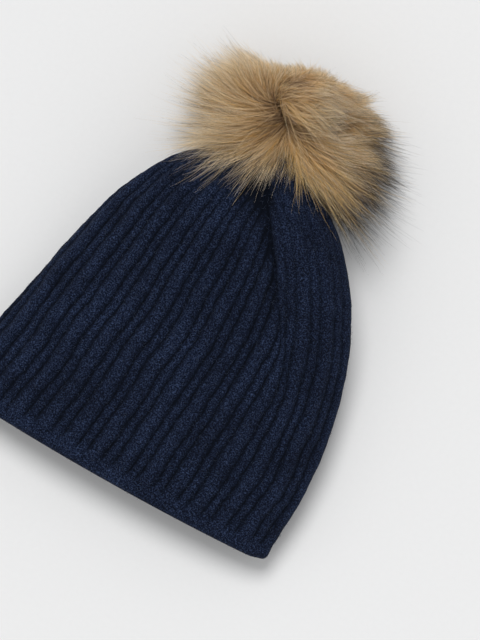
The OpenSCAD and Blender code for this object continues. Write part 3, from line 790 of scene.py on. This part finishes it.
def fur_tree():
    """Hairs that leave the hide, bend over to their tips, gather in locks and lie on the hat."""
    tree, given = node_group("fur", [("Seed", "NodeSocketInt"), ("Density", "NodeSocketFloat"),
                                     ("Shortest", "NodeSocketFloat"), ("Longest", "NodeSocketFloat"),
                                     ("Width", "NodeSocketFloat"), ("Scatter", "NodeSocketFloat"),
                                     ("Hat", "NodeSocketObject")])
    seed = given["Seed"]
    spots = add(tree, "GeometryNodeDistributePointsOnFaces",
                {"Mesh": given["Geometry"], "Density": given["Density"], "Seed": seed})
    points = spots.outputs["Points"]
    for key, value, kind in (("root", add(tree, "GeometryNodeInputPosition"), "FLOAT_VECTOR"),
                             ("out", spots.outputs["Normal"], "FLOAT_VECTOR"),
                             ("long", chance(tree, given["Shortest"], given["Longest"], seed, 1), "FLOAT"),
                             ("stray", chance_vector(tree, seed, 2), "FLOAT_VECTOR"),
                             ("pick", chance(tree, 0.0, 1.0, seed, 3), "FLOAT"),
                             ("tone", chance(tree, 0.02, 0.98, seed, 4), "FLOAT")):
        points = add(tree, STORE, {"Geometry": points, "Name": key, "Value": value}, data_type=kind)
    line = add(tree, "GeometryNodeCurvePrimitiveLine")
    hair = add(tree, "GeometryNodeResampleCurve", {"Curve": line, "Count": 6})
    placed = add(tree, "GeometryNodeInstanceOnPoints", {"Points": points, "Instance": hair})
    hairs = add(tree, "GeometryNodeRealizeInstances", {"Geometry": placed})

    root, out, tip, stray = (add(tree, NAMED, (key,), data_type="FLOAT_VECTOR")
                             for key in ("root", "out", "tip", "stray"))
    length, ruffle, pick, tone, dark, gold = (add(tree, NAMED, (key,))
                                              for key in ("long", "ruffle", "pick", "tone", "dark", "gold"))
    along = add(tree, "GeometryNodeSplineParameter").outputs["Factor"]
    square = add(tree, MATH, (along, along), operation="MULTIPLY")
    span = add(tree, VECTOR, (tip, root), operation="SUBTRACT")
    reach = add(tree, VECTOR, (span,), operation="LENGTH")

    def lock(size_mm, swing, pull):
        """The swing that a lock's hairs share, and the pull of each towards the lock's middle."""
        cell = add(tree, "ShaderNodeTexVoronoi", {"Vector": root, "Scale": per_mm(size_mm)})
        centre = cell.outputs["Position"]
        turn = add(tree, "ShaderNodeTexWhiteNoise", {"Vector": centre}, noise_dimensions="3D")
        turn = add(tree, VECTOR, (turn.outputs["Color"], (0.5, 0.5, 0.5)), operation="SUBTRACT")
        far = add(tree, MATH, (reach, swing), operation="MULTIPLY")
        inward = add(tree, VECTOR, (centre, root), operation="SUBTRACT")
        return (add(tree, VECTOR, {0: turn, "Scale": far}, operation="SCALE"),
                add(tree, VECTOR, {0: inward, "Scale": pull}, operation="SCALE"))

    wide_turn, wide_pull = lock(BIG_LOCK, WIDE_SWING, 0.35)
    fine_turn, fine_pull = lock(SMALL_LOCK, FINE_SWING, 0.5)
    ruffled = add(tree, MATH, (given["Scatter"], ruffle), operation="MULTIPLY")
    ruffled = add(tree, MATH, (ruffled, MOST_SCATTER), operation="MINIMUM")
    ruffled = add(tree, MATH, (reach, ruffled), operation="MULTIPLY")
    loose = add(tree, VECTOR, {0: stray, "Scale": ruffled}, operation="SCALE")
    aim = add(tree, VECTOR, (span, wide_turn), operation="ADD")
    aside = add(tree, VECTOR, (fine_turn, loose), operation="ADD")
    aim = add(tree, VECTOR, (aim, aside), operation="ADD")
    aim = add(tree, VECTOR, {0: aim, "Scale": length}, operation="SCALE")

    # The arch is highest half-way along; the lean towards the tip grows with the square of the way along.
    high = add(tree, MATH, (reach, length), operation="MULTIPLY")
    high = add(tree, MATH, (high, ARCH), operation="MULTIPLY")
    lift = add(tree, VECTOR, {0: out, "Scale": high}, operation="SCALE")
    rise = add(tree, MATH, (1.0, along), operation="SUBTRACT")
    rise = add(tree, MATH, (along, rise), operation="MULTIPLY")
    rise = add(tree, MATH, (rise, 2.0), operation="MULTIPLY")
    early = add(tree, MATH, (rise, 0.25), operation="MULTIPLY")
    gather = add(tree, VECTOR, (wide_pull, fine_pull), operation="ADD")
    shape = add(tree, VECTOR, {0: lift, "Scale": rise}, operation="SCALE")
    for part, share_of_it in ((aim, square), (aim, early), (gather, square)):
        scaled = add(tree, VECTOR, {0: part, "Scale": share_of_it}, operation="SCALE")
        shape = add(tree, VECTOR, (shape, scaled), operation="ADD")
    hair_point = add(tree, VECTOR, (root, shape), operation="ADD")
    hairs = add(tree, "GeometryNodeSetPosition", {"Geometry": hairs, "Position": hair_point})

    # A point inside the hat, or too near it, moves out to lie on the knit.
    here = add(tree, "GeometryNodeInputPosition")
    body = add(tree, "GeometryNodeObjectInfo", {"Object": given["Hat"]}, transform_space="RELATIVE")
    body = body.outputs["Geometry"]
    near = add(tree, "GeometryNodeProximity", {"Geometry": body, "Sample Position": here},
               target_element="FACES")
    near = near.outputs["Position"]
    facing = add(tree, "GeometryNodeSampleNearestSurface",
                 {"Mesh": body, "Value": add(tree, "GeometryNodeInputNormal"), "Sample Position": here},
                 data_type="FLOAT_VECTOR").outputs["Value"]
    clear = add(tree, VECTOR, (here, near), operation="SUBTRACT")
    clear = add(tree, VECTOR, (clear, facing), operation="DOT_PRODUCT")
    margin = add(tree, MATH, (tone, 2.5 * MM, 2.4 * MM), operation="MULTIPLY_ADD")
    buried = add(tree, MATH, (clear, margin), operation="LESS_THAN")
    lying = add(tree, VECTOR, {0: facing, "Scale": margin}, operation="SCALE")
    lying = add(tree, VECTOR, (near, lying), operation="ADD")
    hairs = add(tree, "GeometryNodeSetPosition", {"Geometry": hairs, "Selection": buried, "Position": lying})

    # No hair goes under the table, and none stands over the tuft's height.
    split = add(tree, "ShaderNodeSeparateXYZ", {"Vector": here}).outputs
    ground = add(tree, MATH, (pick, 3 * MM, 0.5 * MM), operation="MULTIPLY_ADD")
    raised = add(tree, MATH, (split["Z"], ground, 4 * MM), operation="SMOOTH_MAX")
    capped = add(tree, MATH, (raised, (COAT_HI[2] + TUFT) * MM, 5 * MM), operation="SMOOTH_MIN")
    flat = add(tree, "ShaderNodeCombineXYZ", {"X": split["X"], "Y": split["Y"], "Z": capped})
    hairs = add(tree, "GeometryNodeSetPosition", {"Geometry": hairs, "Position": flat})

    # The map: U holds the kind of hair (tan, golden or tipped) and its tone, V the way along it.
    is_dark = add(tree, MATH, (pick, dark), operation="LESS_THAN")
    either = add(tree, MATH, (dark, gold), operation="ADD")
    is_either = add(tree, MATH, (pick, either), operation="LESS_THAN")
    across = add(tree, MATH, (is_dark, is_either), operation="ADD")
    across = add(tree, MATH, (across, tone), operation="ADD")
    across = add(tree, MATH, (across, 3.0), operation="DIVIDE")
    up_hair = add(tree, MATH, (length, 1.1), operation="MULTIPLY")
    up_hair = add(tree, MATH, (1.0, up_hair), operation="MINIMUM")
    up_hair = add(tree, MATH, (along, up_hair), operation="MULTIPLY")
    for key, value in (("across", across), ("up_hair", up_hair)):
        hairs = add(tree, STORE, {"Geometry": hairs, "Name": key, "Value": value})
    taper = add(tree, MATH, (along, 2.5), operation="POWER")
    taper = add(tree, MATH, (taper, 0.8), operation="MULTIPLY")
    taper = add(tree, MATH, (1.0, taper), operation="SUBTRACT")
    width = add(tree, MATH, (given["Width"], taper), operation="MULTIPLY")
    profile = add(tree, "GeometryNodeCurvePrimitiveCircle", {"Resolution": 3, "Radius": 1.0})
    strand = add(tree, "GeometryNodeCurveToMesh", {"Curve": hairs, "Profile Curve": profile, "Scale": width,
                                                   "Fill Caps": True})
    stored = (add(tree, NAMED, ("across",)), add(tree, NAMED, ("up_hair",)))
    place = add(tree, "ShaderNodeCombineXYZ", stored)
    mapped = add(tree, STORE, {"Geometry": strand, "Name": "HairMap", "Value": place}, data_type="FLOAT2",
                 domain="CORNER")
    smooth_faces = add(tree, "GeometryNodeSetShadeSmooth", {"Geometry": mapped})
    done = add(tree, "GeometryNodeSetMaterial", {"Geometry": smooth_faces, "Material": FUR})
    add(tree, "NodeGroupOutput", (done,))
    return tree


def grow_fur():
    """Several coats of hair, each from its own seed."""
    tree = fur_tree()
    body = hat_body()
    coats = [("fur_under_a", 1.0, 0.3, 0.62, 0.1, 0.34), ("fur_under_b", 1.0, 0.3, 0.62, 0.1, 0.24),
             ("fur_main_a", 1.0, 0.62, 1.0, 0.09, 0.1), ("fur_main_b", 1.0, 0.62, 1.0, 0.09, 0.1),
             ("fur_main_c", 1.0, 0.8, 1.02, 0.09, 0.07), ("fur_main_d", 1.0, 0.8, 1.02, 0.09, 0.07),
             ("fur_guard", 0.8, 0.92, 1.14, 0.08, 0.16)]
    per_coat = 5800
    made = []
    for seed, (name, part, shortest, longest, width, scatter) in enumerate(coats):
        base = fur_base()
        area = sum(face.area for face in base.data.polygons)
        run_group(base, tree, {"Seed": seed * 7 + 3, "Density": part * per_coat / area,
                               "Shortest": shortest, "Longest": longest, "Width": width * MM,
                               "Scatter": scatter, "Hat": body})
        coat = evaluated_piece(base, name)
        for key in ("root", "out", "tip", "long", "stray", "pick", "tone", "dark", "gold", "ruffle",
                    "across", "up_hair"):
            held = coat.data.attributes.get(key)
            if held:
                coat.data.attributes.remove(held)
        made.append(coat)
    bpy.data.objects.remove(body, do_unlink=True)
    return made


for n, coat in enumerate(grow_fur()):
    if n == 0:
        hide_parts("fur_coat")
    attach(coat, "pom")


# ---------------------------------------------------------------- stitches and loose fibres
def stitch_tree():
    """Stitches of bent yarn set at an even step along a line of points, each turned to follow it."""
    tree, given = node_group("stitches", [("Step", "NodeSocketFloat"), ("Reach", "NodeSocketFloat"),
                                          ("Slant", "NodeSocketFloat"), ("Yarn", "NodeSocketFloat"),
                                          ("Seed", "NodeSocketInt"), ("Finish", "NodeSocketMaterial")])
    line = add(tree, "GeometryNodeMeshToCurve", {"Mesh": given["Geometry"]}).outputs["Curve"]
    spots = add(tree, "GeometryNodeCurveToPoints", {"Curve": line, "Length": given["Step"]}, mode="LENGTH")
    arc = add(tree, "GeometryNodeCurveQuadraticBezier",
              {"Resolution": 6, "Start": (-0.5, 0, -0.16), "Middle": (0, 0, 0.42), "End": (0.5, 0, -0.16)})
    slant = add(tree, "ShaderNodeCombineXYZ", {"Z": given["Slant"]})
    turned = add(tree, "GeometryNodeTransform", {"Geometry": arc, "Rotation": slant})
    own = chance(tree, 0.88, 1.12, given["Seed"], 1)
    size = add(tree, MATH, (given["Reach"], own), operation="MULTIPLY")
    out, along = (add(tree, NAMED, (key,), data_type="FLOAT_VECTOR") for key in ("out", "along"))
    facing = add(tree, "FunctionNodeAlignRotationToVector", {"Vector": out}, axis="Z")
    facing = add(tree, "FunctionNodeAlignRotationToVector", {"Rotation": facing, "Vector": along},
                 axis="Y", pivot_axis="Z")
    placed = add(tree, "GeometryNodeInstanceOnPoints",
                 {"Points": spots.outputs["Points"], "Instance": turned, "Rotation": facing, "Scale": size})
    stitches = add(tree, "GeometryNodeRealizeInstances", {"Geometry": placed})
    profile = add(tree, "GeometryNodeCurvePrimitiveCircle", {"Resolution": 6, "Radius": 1.0})
    yarn = add(tree, "GeometryNodeCurveToMesh", {"Curve": stitches, "Profile Curve": profile,
                                                 "Scale": given["Yarn"], "Fill Caps": True})
    smooth_faces = add(tree, "GeometryNodeSetShadeSmooth", {"Geometry": yarn})
    done = add(tree, "GeometryNodeSetMaterial", {"Geometry": smooth_faces, "Material": given["Finish"]})
    add(tree, "NodeGroupOutput", (done,))
    return tree


STITCHES = stitch_tree()


def stitched(name, lines, step, reach, slant, yarn, finish, seed):
    """Stitches along lines of (points, outward directions), in millimetres."""
    points, outs, alongs, edges = [], [], [], []
    for path, out in lines:
        start = len(points)
        points.extend(path)
        outs.extend(out)
        alongs.extend(np.gradient(np.array(path), axis=0))
        edges.extend((start + i, start + i + 1) for i in range(len(path) - 1))
    mesh = bpy.data.meshes.new(name)
    mesh.from_pydata((np.array(points) * MM).tolist(), edges, [])
    for key, values in (("out", outs), ("along", alongs)):
        flat = np.array(values, np.float32)
        mesh.attributes.new(key, "FLOAT_VECTOR", "POINT").data.foreach_set("vector", flat.ravel())
    source = link(bpy.data.objects.new(name, mesh))
    run_group(source, STITCHES, {"Step": step * MM, "Reach": reach * MM, "Slant": math.radians(slant),
                                 "Yarn": yarn / 2 * MM, "Seed": seed, "Finish": finish})
    return evaluated_piece(source, name)


def fibre_tree():
    """Loose wool fibres: short, bent and lying close to the knit."""
    tree, given = node_group("loose_fibres", [("Seed", "NodeSocketInt"), ("Density", "NodeSocketFloat"),
                                              ("Finish", "NodeSocketMaterial")])
    seed = given["Seed"]
    spots = add(tree, "GeometryNodeDistributePointsOnFaces",
                {"Mesh": given["Geometry"], "Density": given["Density"], "Seed": seed})
    arc = add(tree, "GeometryNodeCurveQuadraticBezier",
              {"Resolution": 4, "Start": (-0.5, 0, -0.1), "Middle": (0.1, 0.5, 0.55),
               "End": (0.5, -0.1, 0.2)})
    turn = add(tree, "ShaderNodeCombineXYZ", {"Z": chance(tree, 0.0, math.tau, seed, 1)})
    twist = add(tree, "FunctionNodeRotateRotation", (spots.outputs["Rotation"], turn), rotation_space="LOCAL")
    placed = add(tree, "GeometryNodeInstanceOnPoints",
                 {"Points": spots.outputs["Points"], "Instance": arc, "Rotation": twist,
                  "Scale": chance(tree, 0.9 * MM, 2.6 * MM, seed, 2)})
    fibres = add(tree, "GeometryNodeRealizeInstances", {"Geometry": placed})
    profile = add(tree, "GeometryNodeCurvePrimitiveCircle", {"Resolution": 3, "Radius": 1.0})
    strand = add(tree, "GeometryNodeCurveToMesh", {"Curve": fibres, "Profile Curve": profile,
                                                   "Scale": 0.05 * MM, "Fill Caps": True})
    here = add(tree, "ShaderNodeSeparateXYZ", {"Vector": add(tree, "GeometryNodeInputPosition")}).outputs
    raised = add(tree, MATH, (here["Z"], 0.05 * MM), operation="MAXIMUM")
    above = add(tree, "ShaderNodeCombineXYZ", {"X": here["X"], "Y": here["Y"], "Z": raised})
    strand = add(tree, "GeometryNodeSetPosition", {"Geometry": strand, "Position": above})
    done = add(tree, "GeometryNodeSetMaterial", {"Geometry": strand, "Material": given["Finish"]})
    add(tree, "NodeGroupOutput", (done,))
    return tree


def fibres_on(knit, tree, count, seed):
    """About this many loose fibres over a knit piece, as a piece of their own."""
    source = link(bpy.data.objects.new(knit.name + "_fibres", knit.data.copy()))
    area = sum(face.area for face in source.data.polygons)
    run_group(source, tree, {"Seed": seed, "Density": count / area, "Finish": FIBRE})
    return evaluated_piece(source, knit.name + "_fibres")


def sew_knit():
    """The side seams at the folds, the darts' inner seams and the felt patch's edge."""
    fold_y = np.linspace(2, CAP_Y - 1, 80)
    lines = []
    for side in (-1, 1):
        x = side * (half_w(fold_y) - 2.3)
        path = settle(np.stack([x, fold_y, mid_z(fold_y)], -1))
        lines.append((path, np.tile([side, 0, 0], (len(path), 1))))
    seams = stitched("side_seam_stitches", lines, 3.1, 3.8, 32, 1.3, YARN, 3)

    dart_y = np.linspace(DART_END[1] + 2, DART_TOP[1] - 4, 30)
    lines = []
    for side in (1, -1):
        base, normal, s, y, reach = knit_grid(dart_y, side, 120)
        at = np.abs(s * side - dart_x(y)).argmin(1)
        pick = np.arange(len(dart_y))
        path = settle(base[pick, at] - normal[pick, at] * (KNIT_T + 0.3))
        lines.append((path, -normal[pick, at]))
    darts = stitched("dart_seam_stitches", lines, 3.0, 4.2, 30, 1.4, YARN, 4)
    for sewn in (seams, darts):
        blend_mouth(sewn)
    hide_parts("left_side_seam", "right_side_seam")
    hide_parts("front_dart_seam", "back_dart_seam")

    turn = np.linspace(0, 2 * np.pi, 49)
    patch_r = (PATCH_HI[0] - PATCH_LO[0]) / 2
    ring = np.stack([np.cos(turn), 0 * turn, np.sin(turn)], -1)
    path = ring * (patch_r - 0.4) + [0, (PATCH_LO[1] + PATCH_HI[1]) / 2, CROWN_Z]
    whip = stitched("patch_whip_stitches", [(path, ring)], 3.6, 3.2, 70, 0.7, YARN, 5)
    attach(whip, "hat_back")


sew_knit()
FIBRES = fibre_tree()
for knit, count, seed in ((front, 4200, 1), (back, 2200, 2), (crown, 700, 3)):
    loose = fibres_on(knit, FIBRES, count, seed)
    blend_mouth(loose)


# ---------------------------------------------------------------- care label
def care_label():
    """A blank tape sewn in along its hem edge, its free end lifting a little off the knit."""
    across, down = 14, 22
    half = (LABEL_HI[0] - LABEL_LO[0]) / 2
    thick = LABEL_HI[2] - LABEL_LO[2]
    x = np.linspace(-half, half, across + 1)
    y = np.linspace(LABEL_LO[1], LABEL_HI[1], down + 1)
    grid_x, grid_y = np.meshgrid(x, y)
    t = (grid_y - y[0]) / (y[-1] - y[0])
    lift = LABEL_LO[2] + 0.7 + 1.6 * t ** 2 + 0.5 * np.sin(grid_x / half * 2.2 + 0.6) * t
    top = np.stack([grid_x, grid_y, lift + thick], -1)
    under = np.stack([grid_x, grid_y, lift], -1)
    top[..., 0] += lean_x(grid_y - HEM_Y)
    under[..., 0] += lean_x(grid_y - HEM_Y)
    w = across + 1
    n = w * (down + 1)
    faces = [(i * w + j, i * w + j + 1, (i + 1) * w + j + 1, (i + 1) * w + j)
             for i in range(down) for j in range(across)]
    faces += [tuple(n + v for v in reversed(face)) for face in faces]
    rim = (list(range(across)) + [i * w + across for i in range(down)]
           + [down * w + j for j in range(across, 0, -1)] + [i * w for i in range(down, 0, -1)])
    faces += [(a, n + a, n + b, b) for a, b in zip(rim, rim[1:] + rim[:1])]
    return piece("care_label_tape", np.concatenate([top.reshape(-1, 3), under.reshape(-1, 3)]), faces, TAPE)


label = care_label()
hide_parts("care_label")
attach(label, "hat_back")


# ---------------------------------------------------------------- hide and stuffing
def oval_body(name, node, shrink, material):
    """A closed oval of the node's size, drawn in round its mouth."""
    lo, hi = box_mm(node)
    mid, half = (lo + hi) / 2, (hi - lo) / 2 - shrink
    rows, cols = 26, 48
    lat = np.linspace(-0.46 * np.pi, 0.5 * np.pi, rows + 1)[:-1]
    lon = np.linspace(0, 2 * np.pi, cols, endpoint=False)
    pleat = 1 + 0.05 * np.outer(smooth((-lat - 0.7) / 0.5), np.cos(lon * 12))
    r = np.cos(lat)[:, None] * pleat
    points = np.stack([r * np.cos(lon), np.repeat(np.sin(lat)[:, None], cols, 1), r * np.sin(lon)],
                      -1) * half + mid
    faces = [(i * cols + j, (i + 1) * cols + j, (i + 1) * cols + (j + 1) % cols, i * cols + (j + 1) % cols)
             for i in range(rows - 1) for j in range(cols)]
    top = (rows - 1) * cols
    tip = rows * cols
    faces += [(top + j, tip, top + (j + 1) % cols) for j in range(cols)]
    faces += [tuple(range(cols))]
    flat = np.concatenate([points.reshape(-1, 3), [mid + [0, half[1], 0]]])
    return piece(name, flat, faces, material)


SWELL_FRAMES = 20        # enough for the cloth to come to rest


def plump(source, name, voxel, pressure, most):
    """Swells a closed body as stuffed cloth swells, with no point moving more than most, in millimetres."""
    remesh = source.modifiers.new("remesh", "REMESH")
    remesh.voxel_size = voxel * MM
    remesh.use_smooth_shade = True
    body = evaluated_piece(source, name)
    before = np.empty(len(body.data.vertices) * 3)
    body.data.vertices.foreach_get("co", before)
    cloth = body.modifiers.new("cloth", "CLOTH")
    cloth.settings.use_pressure = True
    cloth.settings.uniform_pressure_force = pressure
    cloth.settings.effector_weights.gravity = 0
    cloth.point_cache.frame_end = SWELL_FRAMES
    for number in range(1, SWELL_FRAMES + 1):
        bpy.context.scene.frame_set(number)
    body = evaluated_piece(body, name)
    bpy.context.scene.frame_set(1)
    after = np.empty(len(body.data.vertices) * 3)
    body.data.vertices.foreach_get("co", after)
    moved = (after - before).reshape(-1, 3)
    far = np.linalg.norm(moved, axis=1, keepdims=True)
    moved *= np.minimum(1, most * MM / np.maximum(far, 1e-9))
    body.data.vertices.foreach_set("co", (before.reshape(-1, 3) + moved).ravel())
    finer = body.modifiers.new("finer", "SUBSURF")
    finer.levels = finer.render_levels = 1
    return evaluated_piece(body, name)


hide = plump(oval_body("hide_skin", "fur_hide", 1.6, HIDE), "fur_hide_skin", 2.5, 3.0, 1.4)
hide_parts("fur_hide")
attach(hide, "pom")
stuffing = plump(oval_body("stuffing_core", "pom_stuffing", 2.6, FILLING), "stuffing_fill", 3.0, 2.0, 1.0)
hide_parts("pom_stuffing")
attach(stuffing, "pom")


# ---------------------------------------------------------------- floor, light and camera
def set_stage():
    size = 3.0
    mesh = bpy.data.meshes.new("table_top")
    mesh.from_pydata([(-size, -size, 0), (size, -size, 0), (size, size, 0), (-size, size, 0)], [],
                     [(0, 1, 2, 3)])
    floor = link(bpy.data.objects.new("table_top", mesh))
    floor.location.z = -0.0002
    mesh.materials.append(finish_material("painted_board", painted_board))


def set_light():
    world = bpy.data.worlds.new("studio")
    world.use_nodes = True
    world.node_tree.nodes["Background"].inputs["Color"].default_value = (0.83, 0.835, 0.84, 1)
    world.node_tree.nodes["Background"].inputs["Strength"].default_value = 0.66
    bpy.context.scene.world = world
    key = bpy.data.lights.new("key", "SUN")
    key.energy = 1.75
    key.angle = math.radians(26)
    lamp = link(bpy.data.objects.new("key", key))
    towards = Vector((-0.36, 0.46, 1.0))
    lamp.rotation_mode = "QUATERNION"
    lamp.rotation_quaternion = towards.to_track_quat("Z", "Y")


def set_camera():
    """Straight above, turned so that the hat's crown points up and to the right."""
    away = 2.0
    seen_high = 0.384
    sensor = 36.0
    data = bpy.data.cameras.new("camera")
    data.sensor_width = sensor
    data.lens = sensor * away / seen_high
    cam = link(bpy.data.objects.new("camera", data))
    cam.location = (0.0267, -0.018, away + 0.03)
    cam.rotation_euler = (0, 0, math.radians(29.5))
    bpy.context.scene.camera = cam


set_stage()
set_light()
set_camera()
bpy.context.scene.view_settings.view_transform = "Standard"
